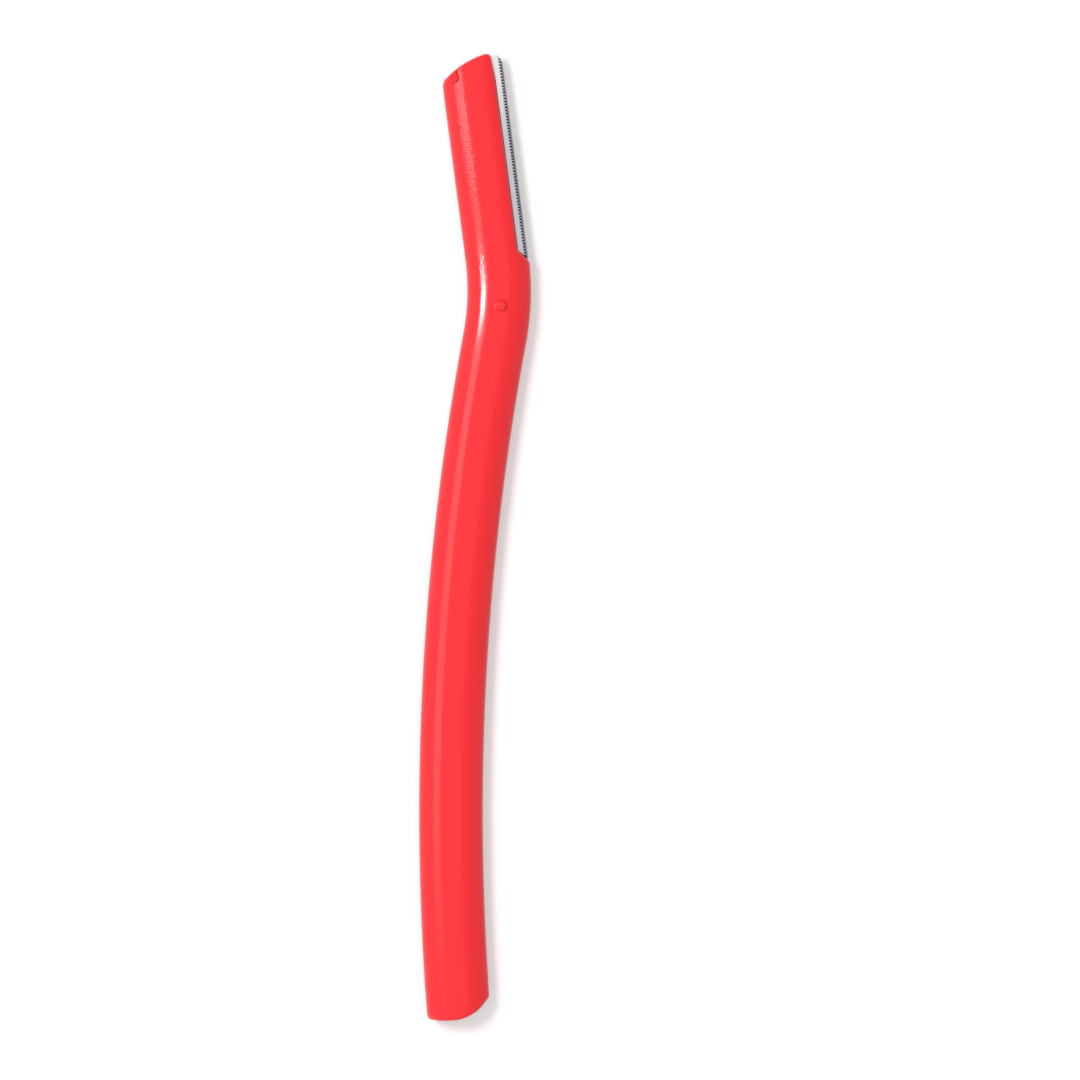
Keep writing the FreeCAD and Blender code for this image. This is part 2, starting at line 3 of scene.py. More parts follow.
import bpy
import numpy as np
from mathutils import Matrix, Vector


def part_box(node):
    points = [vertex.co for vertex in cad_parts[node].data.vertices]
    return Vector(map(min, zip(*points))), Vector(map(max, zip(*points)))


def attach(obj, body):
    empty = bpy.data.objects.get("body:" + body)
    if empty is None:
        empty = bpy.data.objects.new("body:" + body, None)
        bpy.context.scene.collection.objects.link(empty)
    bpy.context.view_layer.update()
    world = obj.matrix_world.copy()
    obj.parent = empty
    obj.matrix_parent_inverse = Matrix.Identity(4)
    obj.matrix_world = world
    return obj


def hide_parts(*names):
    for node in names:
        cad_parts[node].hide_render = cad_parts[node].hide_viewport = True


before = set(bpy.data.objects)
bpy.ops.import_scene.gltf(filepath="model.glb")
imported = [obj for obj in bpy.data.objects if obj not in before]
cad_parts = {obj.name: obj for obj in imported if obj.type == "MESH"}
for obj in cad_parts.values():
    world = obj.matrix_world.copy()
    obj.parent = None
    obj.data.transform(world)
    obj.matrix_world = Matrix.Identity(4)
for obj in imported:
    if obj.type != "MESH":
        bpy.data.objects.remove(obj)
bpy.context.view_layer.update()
print("frame loaded:", ", ".join(sorted(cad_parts)))

mm = 0.001
headTilt = 7.5  # lean of the head against the razor's long axis, degrees
stripPlace = (-9.180 * mm, -75.353 * mm, 0)  # brings the head's tip to zero once the head is turned upright


def linear(hexColour):
    # sRGB hex to linear, as the shaders want it
    srgb = np.array([int(hexColour[i:i + 2], 16) for i in (1, 3, 5)]) / 255
    lin = np.where(srgb <= 0.04045, srgb / 12.92, ((srgb + 0.055) / 1.055) ** 2.4)
    return (*lin.tolist(), 1.0)


def addNode(tree, kind, inputs=None, **settings):
    # a node with its settings; an input is a plain value or the output socket it is linked to
    node = tree.nodes.new(kind)
    for name, value in settings.items():
        setattr(node, name, value)
    for name, value in (inputs or {}).items():
        if isinstance(value, bpy.types.NodeSocket):
            tree.links.new(value, node.inputs[name])
        else:
            node.inputs[name].default_value = value
    return node


def startMaterial(name):
    material = bpy.data.materials.new(name)
    material.use_nodes = True
    tree = material.node_tree
    tree.nodes.clear()
    place = addNode(tree, "ShaderNodeTexCoord").outputs["Object"]
    return material, tree, place


def ramp(tree, value, span, ends=(0, 1)):
    # one number to another over a span, easing in and out
    node = addNode(tree, "ShaderNodeMapRange", {"Value": value, "From Min": span[0], "From Max": span[1],
                                                "To Min": ends[0], "To Max": ends[1]},
                   interpolation_type="SMOOTHSTEP")
    return node.outputs["Result"]


def endMaterial(tree, shader):
    addNode(tree, "ShaderNodeOutputMaterial", {"Surface": shader.outputs["BSDF"]})


def setMaterial(obj, material):
    obj.data.materials.clear()
    obj.data.materials.append(material)


# handle

# millimetres and degrees, in the bar's own run: u across, s from the tip, w up
moulding = {
    "halfWidth": 5.0,
    "halfThickness": 3.1,
    "halfLand": 1.2,                # flat along the top and the underside
    "shoulderTurn": 55.0,           # where the shoulder's arc hands over to the side's
    "headLength": 31.96,
    "bendRadius": 41.2,
    "bendTurn": 18.04,
    "bowRadius": 408.0,
    "bowLength": 107.8,
    "tipCrown": 4.6,                # highest point of the slanted tip's arc
    "tipRadius": 14.0,
    "headRound": 0.3,               # rim of the tip
    "notchRound": 0.9,              # rim beside the strip
    "notchRoundFrom": 0.8,          # how far below the tip it begins to take over, and over what length
    "notchRoundOver": 3.0,
    "tipCorner": 1.1,               # corner between the tip and the notch, seen from above
    "tipLeft": 1.4,                 # what the tip's rim grows by at its left corner, at mid height
    "tipLeftFrom": 4.2,             # how far out it begins to grow, and over what width
    "tipLeftOver": 0.5,
    "tipReach": 5.2,                # how far across the tip's arc is followed
    "footCrown": -0.9,              # lowest point of the foot: slack arc to its left, tight arc to its right
    "footRadius": 6.55,
    "footLeft": 14.0,
    "footSlope": 50.0,
    "footRound": 0.35,              # rim of the foot, growing at mid height by the foot's corner
    "footCorner": 0.65,
    "draft": 0.09,                  # lean of the end walls, out towards mid height
    "notchWall": 3.3,
    "notchStart": 31.1,
    "notchCorner": 1.3,
    "notchSlant": 45.0,
    "seatHalf": 0.28,               # slot that the strip sits in
    "seatTop": 0.76,
    "seatFoot": 32.6,
    "seatDepth": 1.0,
    "partingHalf": 0.07,            # line left where the mould's halves meet
    "partingRise": 0.025,
    "partingEnds": 4.5,             # how far from both ends it begins to rise
    "partingNotch": 35.0,           # and where on the notch's side
    "skew": 12.0,                   # stretch over which the slanted ends die out in the mesh
    "crease": 40.0,                 # edges that turn by more than this stay crisp
}

# the nubs: where they stand, their sizes, then the rings and columns of their meshes
bendNub = {"along": 39.86, "out": 0.43, "radius": 0.85, "flare": 0.2, "side": 0.08, "dome": 0.4,
           "topRings": 3, "roundRings": 9, "columns": 64}
tipNub = {"along": 3.43, "out": -3.22, "radius": 0.82, "turn": 14.5, "rise": 0.2, "round": 0.15,
          "topInsets": (0.55, 0.35), "roundRings": 7, "arcColumns": 33, "sideColumns": 11, "endColumns": 16,
          "steps": 12}

meshing = {
    "nudge": 1e-4,                  # step over which slopes are taken, millimetres
    "settleSteps": 8,
    "leastRim": 0.02,               # share of a rim's round that is kept where its faces come into line
    "leastSlope": 0.05,             # keeps a step short where the distance has hardly any slope
    "topColumns": (30, 27),         # columns over the top, on the left and then on the notch's side
    "topBreak": (2.5, 2.62),        # where the first run of columns stops and the second starts
    "rimRings": 7,
    "headRings": (1.0, 30.2, 74),   # runs of rings: the first, the last and how many
    "cornerRings": (30.3, 32.5, 23),
    "slantRings": (32.7, 34.6, 20),
    "bendRings": (35.0, 46.0, 28),
    "bowRings": (47.0, 105),        # the first and how many, down to the margin above the foot
    "footMargin": 1.0,
    "seatStep": 0.02,               # length of the seat's end walls
    "wallShares": (0.0, 0.25, 0.5, 0.75),  # rings of the end walls, as shares of the rim's ring
}

shoulderTurn = radians(moulding["shoulderTurn"])
sideFall = (moulding["halfThickness"] * sin(shoulderTurn)
            - (moulding["halfWidth"] - moulding["halfLand"]) * (1 - cos(shoulderTurn)))
sideRadius = sideFall / (sin(shoulderTurn) + cos(shoulderTurn) - 1)
sideMiddle = moulding["halfWidth"] - sideRadius
shoulderRadius = (sideMiddle - moulding["halfLand"]) / sin(shoulderTurn) + sideRadius
quarterRun = moulding["halfLand"] + shoulderRadius * shoulderTurn + sideRadius * (pi / 2 - shoulderTurn)
barLength = (moulding["headLength"] + moulding["bendRadius"] * radians(moulding["bendTurn"])
             + moulding["bowLength"])
footMiddle = barLength - moulding["footRadius"]


def ovalPoint(run):
    # oval section by the length run over it from the middle of the top: flat land, shoulder arc, side arc;
    # gives the place and the direction that the surface faces there
    far = np.abs(run)
    onShoulder = np.clip((far - moulding["halfLand"]) / shoulderRadius, 0, shoulderTurn)
    turn = onShoulder + np.maximum((far - moulding["halfLand"]) / sideRadius
                                   - shoulderTurn * shoulderRadius / sideRadius, 0)
    u = (np.minimum(far, moulding["halfLand"]) + shoulderRadius * np.sin(onShoulder)
         + sideRadius * (np.sin(turn) - np.sin(onShoulder)))
    w = (moulding["halfThickness"] - shoulderRadius * (1 - np.cos(onShoulder))
         - sideRadius * (np.cos(onShoulder) - np.cos(turn)))
    return np.sign(run) * u, w, np.sign(run) * np.sin(turn), np.cos(turn)


def ovalDistance(u, w):
    # distance outside the oval: from the land's plane, the shoulder's arc or the side's arc
    u, w = np.abs(u), np.abs(w)
    overShoulder = w - moulding["halfThickness"] + shoulderRadius
    pastLand = u - moulding["halfLand"]
    shoulder = np.hypot(pastLand, overShoulder) - shoulderRadius
    side = np.hypot(u - sideMiddle, w) - sideRadius
    curved = np.where(np.arctan2(pastLand, overShoulder) < shoulderTurn, shoulder, side)
    return np.where(pastLand < 0, w - moulding["halfThickness"], curved)


def tipEdge(u):
    # height of the slanted tip: an arc of one radius
    return moulding["tipRadius"] - np.sqrt(moulding["tipRadius"] ** 2 - (u - moulding["tipCrown"]) ** 2)


def footEdge(u):
    # the slanted foot: an arc to each side of its lowest point, the right one running out in a straight slope
    slope = radians(moulding["footSlope"])
    off = np.minimum(u - moulding["footCrown"], moulding["footRadius"] * sin(slope))
    past = u - moulding["footCrown"] - off
    radius = np.where(off < 0, moulding["footLeft"], moulding["footRadius"])
    return barLength - radius + np.sqrt(radius ** 2 - off ** 2) - past * tan(slope)


def notchEdge(s):
    # how far across the bar reaches beside the strip: straight wall, round corner, slanted end
    slant = radians(moulding["notchSlant"])
    middle = moulding["notchWall"] + moulding["notchCorner"]
    down = np.maximum(s - moulding["notchStart"], 0)
    bend = np.minimum(down, moulding["notchCorner"] * sin(slant))
    return middle - np.sqrt(moulding["notchCorner"] ** 2 - bend ** 2) + (down - bend) * tan(slant)


def meet(first, second, fillet):
    # distance outside both shapes, with the edge between them rounded by a quarter circle
    both = np.hypot(np.maximum(first + fillet, 0), np.maximum(second + fillet, 0))
    return np.minimum(np.maximum(first, second), -fillet) + both


def tipCut(u, s):
    # distance past the tip's arc
    return np.hypot(u - moulding["tipCrown"], s - moulding["tipRadius"]) - moulding["tipRadius"]


def headCut(u, s):
    # distance past the tip's arc or into the notch: its wall, its round corner or its slanted end
    tip = np.where(s < moulding["skew"], tipCut(u, s), -moulding["halfWidth"])
    slant = radians(moulding["notchSlant"])
    corner = moulding["notchCorner"]
    right = u - moulding["notchWall"] - corner
    down = s - moulding["notchStart"]
    turn = np.arctan2(down, -right)
    slope = corner + right * cos(slant) - down * sin(slant)
    bend = np.where(turn < slant, corner - np.hypot(right, down), slope)
    return meet(tip, np.where(down < 0, right + corner, bend), moulding["tipCorner"])


def footCut(u, s):
    # distance past the foot's arcs or its straight slope
    slope = radians(moulding["footSlope"])
    right, down = u - moulding["footCrown"], s - footMiddle
    straight = right * sin(slope) + down * cos(slope)
    past = np.where(np.arctan2(right, down) < slope, np.hypot(right, down), straight) - moulding["footRadius"]
    left = np.hypot(right, s - barLength + moulding["footLeft"]) - moulding["footLeft"]
    past = np.where(right < 0, left, past)
    return np.where(s > barLength - moulding["skew"], past, -moulding["halfWidth"])


def handleDistance(u, s, w):
    # the bar met with both cuts; a rim's round shrinks as its faces come into line, as a rolling ball's would
    nudge = meshing["nudge"]
    bar = ovalDistance(u, w)
    barLean = (ovalDistance(u + nudge, w) - bar) / nudge
    # rims: the tip's gives way to the notch's, and at mid height the foot's and the tip's left corner's grow
    below = s - tipEdge(np.clip(u, -moulding["halfWidth"], moulding["halfWidth"]))
    beside = np.clip((below - moulding["notchRoundFrom"]) / moulding["notchRoundOver"], 0, 1)
    left = np.clip((-u - moulding["tipLeftFrom"]) / moulding["tipLeftOver"], 0, 1)
    middle = np.maximum(1 - (w / moulding["halfThickness"]) ** 2, 0)
    headRim = moulding["headRound"] + beside * (moulding["notchRound"] - moulding["headRound"])
    headRim = headRim + moulding["tipLeft"] * middle * left
    footRim = moulding["footRound"] + moulding["footCorner"] * middle
    outside = []
    for cut, fillet, upright in ((headCut, headRim, beside), (footCut, footRim, 0)):
        past = cut(u, s) + moulding["draft"] * np.abs(w) * (1 - upright)
        cutLean = (cut(u + nudge, s) - cut(u, s)) / nudge
        outside.append(meet(bar, past, fillet * np.maximum(1 - barLean * cutLean, meshing["leastRim"])))
    return np.maximum(*outside)


def settle(u, s, w):
    # slide each point down the distance's slope until it lies on the surface
    nudge = meshing["nudge"]
    for _ in range(meshing["settleSteps"]):
        here = handleDistance(u, s, w)
        slope = [(handleDistance(u + a * nudge, s + b * nudge, w + c * nudge) - here) / nudge
                 for a, b, c in np.eye(3)]
        step = here / np.maximum(sum(side ** 2 for side in slope), meshing["leastSlope"])
        u, s, w = u - step * slope[0], s - step * slope[1], w - step * slope[2]
    return u, s, w


def layBar(u, s, w):
    # the bar's own run laid along its middle line: straight head, bend to the left and bow back,
    # then leant over by the head's tilt
    headLength, bendRadius, bowRadius = moulding["headLength"], moulding["bendRadius"], moulding["bowRadius"]
    bendTurn = radians(moulding["bendTurn"])
    bent = np.clip((s - headLength) / bendRadius, 0, bendTurn)
    bowed = np.maximum((s - headLength - bendRadius * bendTurn) / bowRadius, 0)
    turn = bent - bowed
    x = bendRadius * (np.cos(bent) - 1) - bowRadius * (np.cos(turn) - np.cos(bent)) * (bowed > 0)
    y = (-np.minimum(s, headLength) - bendRadius * np.sin(bent)
         + bowRadius * (np.sin(turn) - np.sin(bent)) * (bowed > 0))
    x, y = x + u * np.cos(turn), y - u * np.sin(turn)
    lean = radians(headTilt)
    return np.stack(np.broadcast_arrays(x * cos(lean) - y * sin(lean), x * sin(lean) + y * cos(lean), w), -1)


def barRings():
    # rings round the bar from the tip's wall to the foot's: over each rim by equal turns, close at the notch
    rim = 1 - np.tan(np.linspace(0, pi / 4, meshing["rimRings"]))
    turns = meshing["rimRings"] - 1
    tipRound, footRound = moulding["headRound"], moulding["footRound"]
    seatTop, seatFoot, seatStep = moulding["seatTop"], moulding["seatFoot"], meshing["seatStep"]
    bowStart, bowCount = meshing["bowRings"]
    stations = np.concatenate([
        np.zeros(turns), rim[::-1] * tipRound,
        [seatTop, seatTop + seatStep],
        np.linspace(*meshing["headRings"]), np.linspace(*meshing["cornerRings"]),
        [seatFoot - seatStep, seatFoot],
        np.linspace(*meshing["slantRings"]), np.linspace(*meshing["bendRings"]),
        np.linspace(bowStart, barLength - meshing["footMargin"], bowCount),
        barLength - rim * footRound, np.full(turns, barLength)])
    insets = np.zeros_like(stations)
    insets[:turns] = rim[:-1] * tipRound
    insets[-turns:] = rim[-2::-1] * footRound
    return stations[:, None], insets[:, None]


def handleSurface():
    # the bar's skin: rings of the oval, skewed at the slanted ends, held in at the notch, then settled
    half = quarterRun
    parting, seat = moulding["partingHalf"], moulding["seatHalf"]
    (leftCount, rightCount), (leftEnd, rightStart) = meshing["topColumns"], meshing["topBreak"]
    over = np.concatenate([[-half], np.linspace(parting - half, leftEnd, leftCount),
                           np.linspace(rightStart, half - seat, rightCount), [half - parting, half]])
    last = len(over) - 1
    run = np.concatenate([over, over[-2:0:-1]])
    level = np.where(np.arange(len(run)) <= last, 1.0, -1.0)
    baseU, baseW, leanU, leanW = ovalPoint(run)
    stations, insets = barRings()
    u = baseU - insets * leanU
    w = level * (baseW - insets * leanW)
    fadeTip = np.clip(1 - stations / moulding["skew"], 0, 1) ** 2
    fadeFoot = np.clip(1 - (barLength - stations) / moulding["skew"], 0, 1) ** 2
    inner = np.where(stations < barLength / 2, insets, 0)
    u = np.minimum(u, notchEdge(stations) - inner)
    reach = moulding["tipReach"]
    s = stations + tipEdge(np.clip(u, -reach, reach)) * fadeTip - (barLength - footEdge(u)) * fadeFoot
    u, s, w = settle(u, s, w)
    cutSeat(u, s, w, last)
    # parting line: a fine ridge at mid height along each side, dying out before the ends and at the notch
    along, ends = stations[:, 0], moulding["partingEnds"]
    rise = moulding["partingRise"] * np.clip(along - ends, 0, 1) * np.clip(barLength - along - ends, 0, 1)
    u[:, 0] -= rise
    u[:, last] += rise * np.clip(along - moulding["partingNotch"], 0, 1)
    # walls of the ends: the first and last rings drawn in to a point
    shrink = np.array(meshing["wallShares"])[:, None]
    tipU = u[0].mean() + shrink * (u[0] - u[0].mean())
    footU = u[-1].mean() + shrink[::-1] * (u[-1] - u[-1].mean())
    tipWall = settle(tipU, tipEdge(tipU), shrink * w[0])
    footWall = settle(footU, footEdge(footU), shrink[::-1] * w[-1])
    rings = layBar(*(np.concatenate(parts) for parts in zip(tipWall, (u, s, w), footWall)))
    return rings[:, ::-1]  # turned round, so that the faces look outward


def cutSeat(u, s, w, last):
    # slot in the notch's wall: two lips, and between them three columns pushed in
    inSeat = (s[:, last] > moulding["seatTop"]) & (s[:, last] < moulding["seatFoot"])
    lip = u[inSeat, last - 2]
    for column, level in ((last - 2, 1), (last - 1, 1), (last, 0), (last + 1, -1), (last + 2, -1)):
        w[inSeat, column] = level * moulding["seatHalf"]
    for column in (last - 1, last, last + 1):
        u[inSeat, column] = lip - moulding["seatDepth"]


def bendNubSurface():
    # a profile of radius and height spun about an upright axis: flat top, domed edge, side and hollow foot,
    # then in under the skin
    quarter = np.linspace(0, pi / 2, bendNub["roundRings"])
    land, topRings = moulding["halfThickness"], bendNub["topRings"]
    dome, flare = bendNub["dome"], bendNub["flare"]
    foot = land + flare
    shoulder = foot + bendNub["side"]
    flat, spread = bendNub["radius"] - dome, bendNub["radius"] + flare
    radius = np.concatenate([np.linspace(0, flat, topRings + 1)[:-1], flat + dome * np.sin(quarter),
                             spread - flare * np.cos(quarter), [spread, 0]])[:, None]
    height = np.concatenate([np.full(topRings, shoulder + dome), shoulder + dome * np.cos(quarter),
                             foot - flare * np.sin(quarter), [land - flare, land - flare]])[:, None]
    spin = np.linspace(0, 2 * pi, bendNub["columns"], endpoint=False)
    return layBar(bendNub["out"] + radius * np.cos(spin), bendNub["along"] + radius * np.sin(spin), height)


def tonguePlace(across, out):
    # places on the tip's nub in the bar's own run: turned about the middle of its half circle
    lean = radians(tipNub["turn"])
    return (tipNub["out"] + across * cos(lean) - out * sin(lean),
            tipNub["along"] - across * sin(lean) - out * cos(lean))


def tipNubSurface():
    # tongue: half a circle whose straight sides run out to the tip's wall, in rings stepping in over its edge
    quarter = np.linspace(0, pi / 2, tipNub["roundRings"])
    top, edge = moulding["halfThickness"] + tipNub["rise"], tipNub["round"]
    inset = np.concatenate([tipNub["topInsets"], edge - edge * np.sin(quarter), [0.0]])[:, None]
    height = np.concatenate([np.full(len(tipNub["topInsets"]), top), top - edge + edge * np.cos(quarter),
                             [moulding["halfLand"]]])[:, None]
    side = tipNub["radius"] - inset
    arc, sides, end = tipNub["arcColumns"], tipNub["sideColumns"], tipNub["endColumns"]
    spin = np.linspace(pi, 2 * pi, arc)
    share = np.linspace(0, 1, sides + 1)[1:]
    straight = np.repeat(side, sides, 1)
    over = np.linspace(1, -1, end + 2)[1:-1]
    across = np.concatenate([side * np.cos(spin), straight, side * over, -straight], 1)
    stop = np.full_like(across, tipNub["radius"])
    for _ in range(tipNub["steps"]):
        # length of the tongue's sides: run out until the tip's wall is met
        past = tipCut(*tonguePlace(across, stop))
        stop = stop - past - moulding["draft"] * height - np.maximum(inset - edge, 0)
    out = stop * np.concatenate([np.zeros(arc), share, np.ones(end), share[::-1]])
    out[:, :arc] = side * np.sin(spin)
    rings = layBar(*tonguePlace(across, out), height)
    ends = np.broadcast_to(rings[[0, -1]].mean(1, keepdims=True), rings[[0, -1]].shape)
    return np.concatenate([ends[:1], rings, ends[1:]])[:, ::-1]  # turned round, as the bar's skin is


def tubeFaces(rows, columns, first):
    # quads between closed rings, where the first and the last ring are single points
    ring = first + 1 + np.arange((rows - 2) * columns).reshape(rows - 2, columns)
    turned = np.roll(ring, -1, 1)
    quads = np.stack((ring[:-1], turned[:-1], turned[1:], ring[1:]), -1).reshape(-1, 4)
    start, end = first, first + 1 + (rows - 2) * columns
    fans = np.concatenate([np.stack((np.full(columns, start), turned[0], ring[0]), -1),
                           np.stack((np.full(columns, end), ring[-1], turned[-1]), -1)])
    return quads, fans


def closedTubes(name, surfaces):
    # one mesh of several closed surfaces, each a grid of rings that ends in a point both ways
    points, faces, first = [], [], 0
    for surface in surfaces:
        rows, columns = surface.shape[:2]
        quads, fans = tubeFaces(rows, columns, first)
        points += [surface[0, :1], surface[1:-1].reshape(-1, 3), surface[-1, :1]]
        faces += quads.tolist() + fans.tolist()
        first += 2 + (rows - 2) * columns
    mesh = bpy.data.meshes.new(name)
    mesh.from_pydata(np.concatenate(points).tolist(), [], faces)
    mesh.shade_smooth()
    mesh.set_sharp_from_angle(angle=radians(moulding["crease"]))
    piece = bpy.data.objects.new(name, mesh)
    bpy.context.scene.collection.objects.link(piece)
    return piece


def makeHandle():
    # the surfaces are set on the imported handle: the head's tip where the strip has it, the land on the floor
    lean = radians(headTilt)
    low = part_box("handle")[0]
    shift = np.array([sin(lean) * stripPlace[1] - cos(lean) * stripPlace[0],
                      -sin(lean) * stripPlace[0] - cos(lean) * stripPlace[1],
                      low[2] + moulding["halfThickness"] * mm])
    skins = handleSurface(), bendNubSurface(), tipNubSurface()
    return closedTubes("handle_moulding", [skin * mm + shift for skin in skins])


plastic = {
    "colour": "#e51822",
    "roughness": 0.16,
    "ior": 1.54,
    "grain": 0.3 * mm,                # spark-eroded texture, drawn a little coarse so that it shows
    "grainDepth": 0.025 * mm,
    "grainSpan": (34 * mm, 46 * mm),  # stretch along the razor over which it wears off towards the grip
    "grainShare": (0.25, 1.0),        # how much of it is left below that stretch and above it
}


def mouldedAbs():
    # ABS moulded in a spark-eroded tool: even colour, satin gloss, highlights broken into a fine grain
    material, tree, place = startMaterial("spark_moulded_abs")
    grain = addNode(tree, "ShaderNodeTexNoise",
                    {"Vector": place, "Scale": 1 / plastic["grain"], "Detail": 0.0})
    along = addNode(tree, "ShaderNodeSeparateXYZ", {"Vector": place}).outputs["Y"]
    bump = addNode(tree, "ShaderNodeBump",
                   {"Height": grain.outputs["Fac"], "Distance": plastic["grainDepth"],
                    "Strength": ramp(tree, along, plastic["grainSpan"], plastic["grainShare"])})
    shader = addNode(tree, "ShaderNodeBsdfPrincipled",
                     {"Base Color": linear(plastic["colour"]), "Roughness": plastic["roughness"],
                      "IOR": plastic["ior"], "Normal": bump.outputs["Normal"]})
    endMaterial(tree, shader)
    return material


handlePiece = makeHandle()
setMaterial(handlePiece, mouldedAbs())
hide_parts("handle")
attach(handlePiece, "root")
print("handle moulded:", len(handlePiece.data.polygons), "faces")


# guard

guard = {
    "colour": "#d9d8e2",
    # painted highlight: near-white, standing in for the lamps' reflection on the sheet near the tip
    "paintedHighlightColour": "#fcfcfd",
    # painted shade: the fold is painted darker, as it lies in shade
    "foldShadeColour": "#94949c",
    "creaseShadeColour": "#6e1c20",                 # painted shade where the sheet meets the moulding, dark red as the plastic's wall in shade
    "creaseShadeAcross": (3.38 * mm, 3.46 * mm),    # how far it reaches from the notch's wall
    "creaseShadeSlant": (-19.96 * mm, -19.88 * mm),  # and from the notch's slanted end, measured square to it
    "creaseShadeTip": (-5.0 * mm, -1.6 * mm),       # where it dies out towards the tip
    "roughness": 0.24,
    "foldShadeAcross": (4.50 * mm, 4.58 * mm),     # where the flat flank gives way to the fold, which is painted darker as shade
    "paintedHighlightSpan": (-16 * mm, -3 * mm),            # painted highlight: the sheet is painted whiter towards the tip over this stretch, measured down from the tip
    "scratchWidth": 0.09 * mm,
    "scratchLength": 2.5 * mm,
    "scratchDepth": 0.0012 * mm,
}


def alongStrip(tree, place):
    # places on the strip: across it from the head's middle line, and along it from the tip
    turned = addNode(tree, "ShaderNodeMapping",
                     {"Vector": place, "Rotation": (0, 0, radians(-headTilt)), "Location": stripPlace})
    return turned.outputs["Vector"]


def blend(tree, share, first, second):
    # one colour to another; the sockets go by number, since the node has several of each name
    node = addNode(tree, "ShaderNodeMix", {0: share, 6: first, 7: second}, data_type="RGBA")
    return node.outputs[2]


def rolledStainless():
    # stainless sheet as rolled and folded: pale mirror softened by fine lines along it, with a painted
    # highlight whiter towards the tip and painted shade at the fold and along the moulding
    material, tree, place = startMaterial("rolled_stainless_sheet")
    strip = alongStrip(tree, place)
    where = addNode(tree, "ShaderNodeSeparateXYZ", {"Vector": strip}).outputs
    # painted highlight: the sheet turns whiter towards the tip
    sheet = blend(tree, ramp(tree, where["Y"], guard["paintedHighlightSpan"]),
                  linear(guard["colour"]), linear(guard["paintedHighlightColour"]))
    slant = radians(moulding["notchSlant"])
    square = addNode(tree, "ShaderNodeVectorMath", {0: strip, 1: (sin(slant), cos(slant), 0)},
                     operation="DOT_PRODUCT")
    # clear of the painted shade: past it both from the wall and from the slanted end, or close to the tip
    unshaded = addNode(tree, "ShaderNodeMath",
                   {0: ramp(tree, where["X"], guard["creaseShadeAcross"]),
                    1: ramp(tree, square.outputs["Value"], guard["creaseShadeSlant"])}, operation="MULTIPLY")
    unshaded = addNode(tree, "ShaderNodeMath",
                   {0: unshaded.outputs["Value"], 1: ramp(tree, where["Y"], guard["creaseShadeTip"])},
                   operation="MAXIMUM")
    # painted shade laid along the moulding's edge
    sheet = blend(tree, unshaded.outputs["Value"], linear(guard["creaseShadeColour"]), sheet)
    # painted shade darkens the fold
    colour = blend(tree, ramp(tree, where["X"], guard["foldShadeAcross"]), sheet, linear(guard["foldShadeColour"]))
    lines = addNode(tree, "ShaderNodeMapping",
                    {"Vector": strip, "Scale": (1 / guard["scratchWidth"], 1 / guard["scratchLength"],
                                                1 / guard["scratchWidth"])})
    scratch = addNode(tree, "ShaderNodeTexNoise",
                      {"Vector": lines.outputs["Vector"], "Scale": 1.0, "Detail": 2.0})
    bump = addNode(tree, "ShaderNodeBump",
                   {"Height": scratch.outputs["Fac"], "Distance": guard["scratchDepth"], "Strength": 1.0})
    shader = addNode(tree, "ShaderNodeBsdfPrincipled",
                     {"Base Color": colour, "Metallic": 1.0, "Roughness": guard["roughness"],
                      "Normal": bump.outputs["Normal"]})
    endMaterial(tree, shader)
    return material


setMaterial(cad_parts["guard"], rolledStainless())
print("guard dressed")


# blade

blade = {
    # painted shade: the body is black so that the guard's slots read dark over it, as deep narrow slots in
    # shade would
    "colour": "#060607",
    "edgeColour": "#8c8c94",
    "roughness": 0.3,
    "edgeAcross": (4.56 * mm, 4.60 * mm),     # where the honed edge begins
    "lineWidth": 0.05 * mm,                   # grinding lines, drawn a little coarse
    "lineLength": 0.8 * mm,
    "lineDepth": 0.001 * mm,
}


def groundSteel():
    # hardened strip ground to a pale, polished edge with fine lines across the bevel; its body is painted
    # black as shade, so that the slots over it read dark
    material, tree, place = startMaterial("ground_blade_steel")
    strip = alongStrip(tree, place)
    where = addNode(tree, "ShaderNodeSeparateXYZ", {"Vector": strip}).outputs
    colour = blend(tree, ramp(tree, where["X"], blade["edgeAcross"]), linear(blade["colour"]),
                   linear(blade["edgeColour"]))
    lines = addNode(tree, "ShaderNodeMapping",
                    {"Vector": strip,
                     "Scale": (1 / blade["lineLength"], 1 / blade["lineWidth"], 1 / blade["lineLength"])})
    grind = addNode(tree, "ShaderNodeTexNoise",
                    {"Vector": lines.outputs["Vector"], "Scale": 1.0, "Detail": 1.0})
    bump = addNode(tree, "ShaderNodeBump",
                   {"Height": grind.outputs["Fac"], "Distance": blade["lineDepth"], "Strength": 1.0})
    shader = addNode(tree, "ShaderNodeBsdfPrincipled",
                     {"Base Color": colour, "Metallic": 1.0, "Roughness": blade["roughness"],
                      "Normal": bump.outputs["Normal"]})
    endMaterial(tree, shader)
    return material


setMaterial(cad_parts["blade"], groundSteel())
print("blade dressed")


# floor, lights and camera

studio = {
    "floorColour": "#dcc9c9",
    "glowColour": "#d3ffff",                  # cooler than the card: white in the light, neutral in red shade
    "floorGlow": 0.365,
    "floorRoughness": 0.9,
    "floorSize": 3.0,
    "worldColour": "#ffffff",
    "worldBright": 0.86,                      # overhead and to the left
    "worldDim": 0.6,                          # to the right
    "worldFade": (-0.1, 0.45),                # where it dims, by the sideways part of the direction
    "photoWidth": 169.76 * mm,                # what the frame spans at the razor's middle height
    "aim": (10.2 * mm, -0.457 * mm, 3.1 * mm),  # what lies in the middle of the frame
    "distance": 1.6,
    "sensor": 36.0,
}

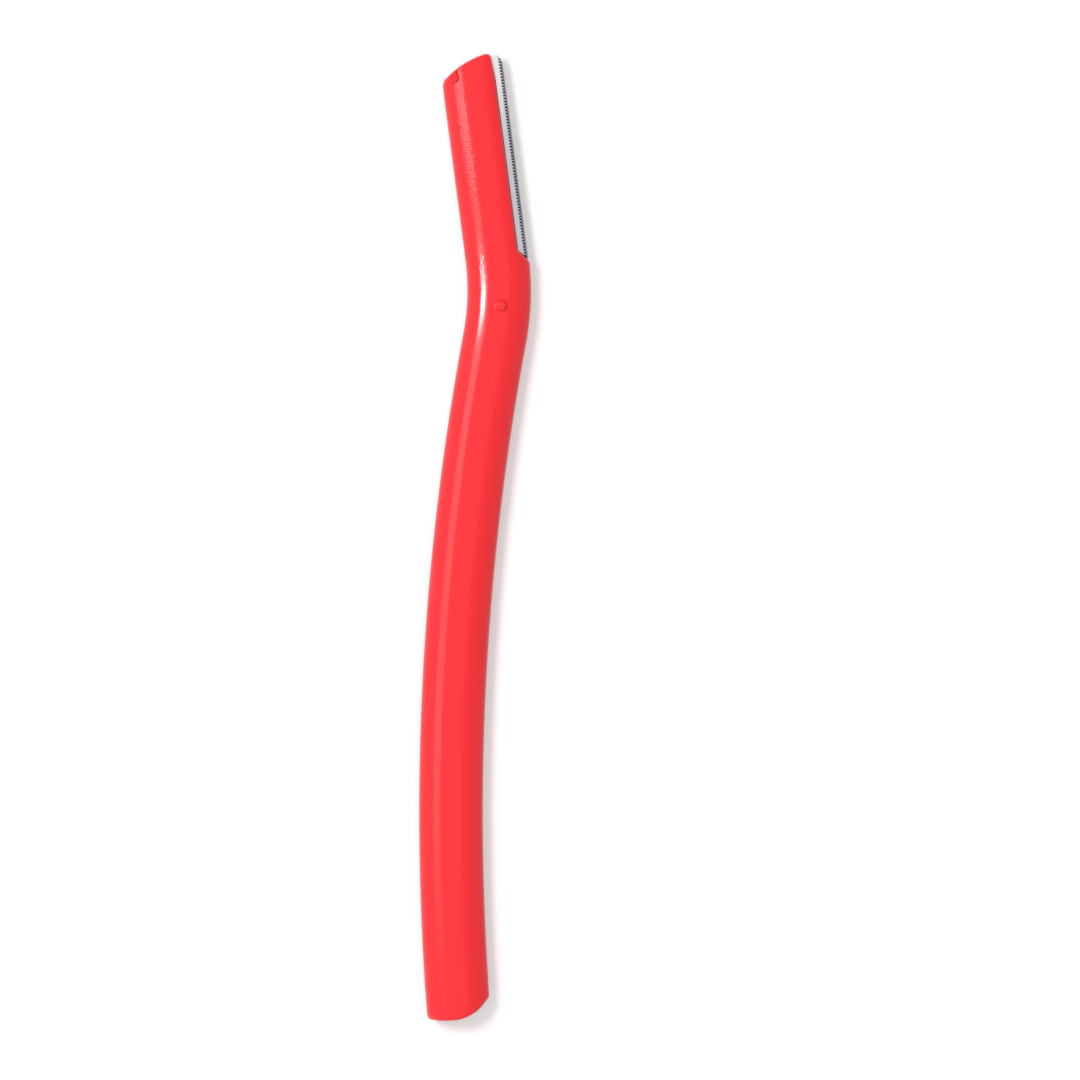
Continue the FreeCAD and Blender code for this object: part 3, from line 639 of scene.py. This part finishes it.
# each light: where it hangs, where it points, its length along the razor and its width, its power in watts,
# and what it serves, "form" for shape and shadow or "gloss" for reflections
lights = {
    "key": {"place": (-0.36, 0.20, 0.84), "aim": (0, 0, 0), "size": (0.26, 0.26), "power": 5.2,
            "serves": "form"},
    "strip": {"place": (-0.26, 0.07, 0.45), "aim": (0, 0.07, 0), "size": (0.3, 0.28), "power": 0.3,
              "serves": "gloss"},
    "upperStrip": {"place": (-0.26, 0.17, 0.45), "aim": (0, 0.10, 0), "size": (0.2, 0.28), "power": 0.12,
                   "serves": "gloss"},
    "headGlow": {"place": (-0.060, 0.063, 0.080), "aim": (-0.003, 0.066, 0.005), "size": (0.014, 0.07),
                 "power": 0.008, "serves": "gloss"},
    "bendSpot": {"place": (-0.0185, 0.0389, 0.0330), "aim": (-0.003, 0.0389, 0.005), "size": (0.001, 0.0105),
                 "power": 0.0046, "serves": "gloss"},
}


def addFloor():
    half = studio["floorSize"] / 2
    mesh = bpy.data.meshes.new("floor")
    corners = [(-half, -half, 0), (half, -half, 0), (half, half, 0), (-half, half, 0)]
    mesh.from_pydata(corners, [], [(0, 1, 2, 3)])
    floor = bpy.data.objects.new("floor", mesh)
    bpy.context.scene.collection.objects.link(floor)
    # matt card: no gloss, and a faint glow of its own that stands in for light from all round
    material, tree, _ = startMaterial("matt_white_card")
    shader = addNode(tree, "ShaderNodeBsdfPrincipled",
                     {"Base Color": linear(studio["floorColour"]), "Roughness": studio["floorRoughness"],
                      "Specular IOR Level": 0.0, "Emission Color": linear(studio["glowColour"]),
                      "Emission Strength": studio["floorGlow"]})
    endMaterial(tree, shader)
    setMaterial(floor, material)
    floor.visible_glossy = False  # reflections see the studio's own light below the horizon as well


def addLight(name, place, aim, size, power, serves):
    data = bpy.data.lights.new(name, "AREA")
    data.shape = "RECTANGLE"
    data.size, data.size_y = size
    data.energy = power
    lamp = bpy.data.objects.new(name, data)
    lamp.location = place
    lamp.rotation_euler = (Vector(aim) - Vector(place)).to_track_quat("-Z", "Y").to_euler()
    lamp.visible_camera = False
    lamp.visible_diffuse = serves == "form"
    lamp.visible_glossy = serves == "gloss"
    bpy.context.scene.collection.objects.link(lamp)


def addWorld():
    world = bpy.data.worlds.new("studio")
    world.use_nodes = True
    tree = world.node_tree
    tree.nodes.clear()
    direction = addNode(tree, "ShaderNodeTexCoord").outputs["Generated"]
    sideways = addNode(tree, "ShaderNodeSeparateXYZ", {"Vector": direction}).outputs["X"]
    strength = ramp(tree, sideways, studio["worldFade"], (studio["worldBright"], studio["worldDim"]))
    sky = addNode(tree, "ShaderNodeBackground",
                  {"Color": linear(studio["worldColour"]), "Strength": strength})
    addNode(tree, "ShaderNodeOutputWorld", {"Surface": sky.outputs["Background"]})
    bpy.context.scene.world = world


def addCamera():
    data = bpy.data.cameras.new("camera")
    data.sensor_width = studio["sensor"]
    data.lens = studio["sensor"] * studio["distance"] / studio["photoWidth"]
    camera = bpy.data.objects.new("camera", data)
    camera.location = Vector(studio["aim"]) + Vector((0, 0, studio["distance"]))
    bpy.context.scene.collection.objects.link(camera)
    bpy.context.scene.camera = camera


addFloor()
addWorld()
addCamera()
for name, settings in lights.items():
    addLight(name, **settings)
bpy.context.scene.view_settings.view_transform = "Standard"
print("studio set")
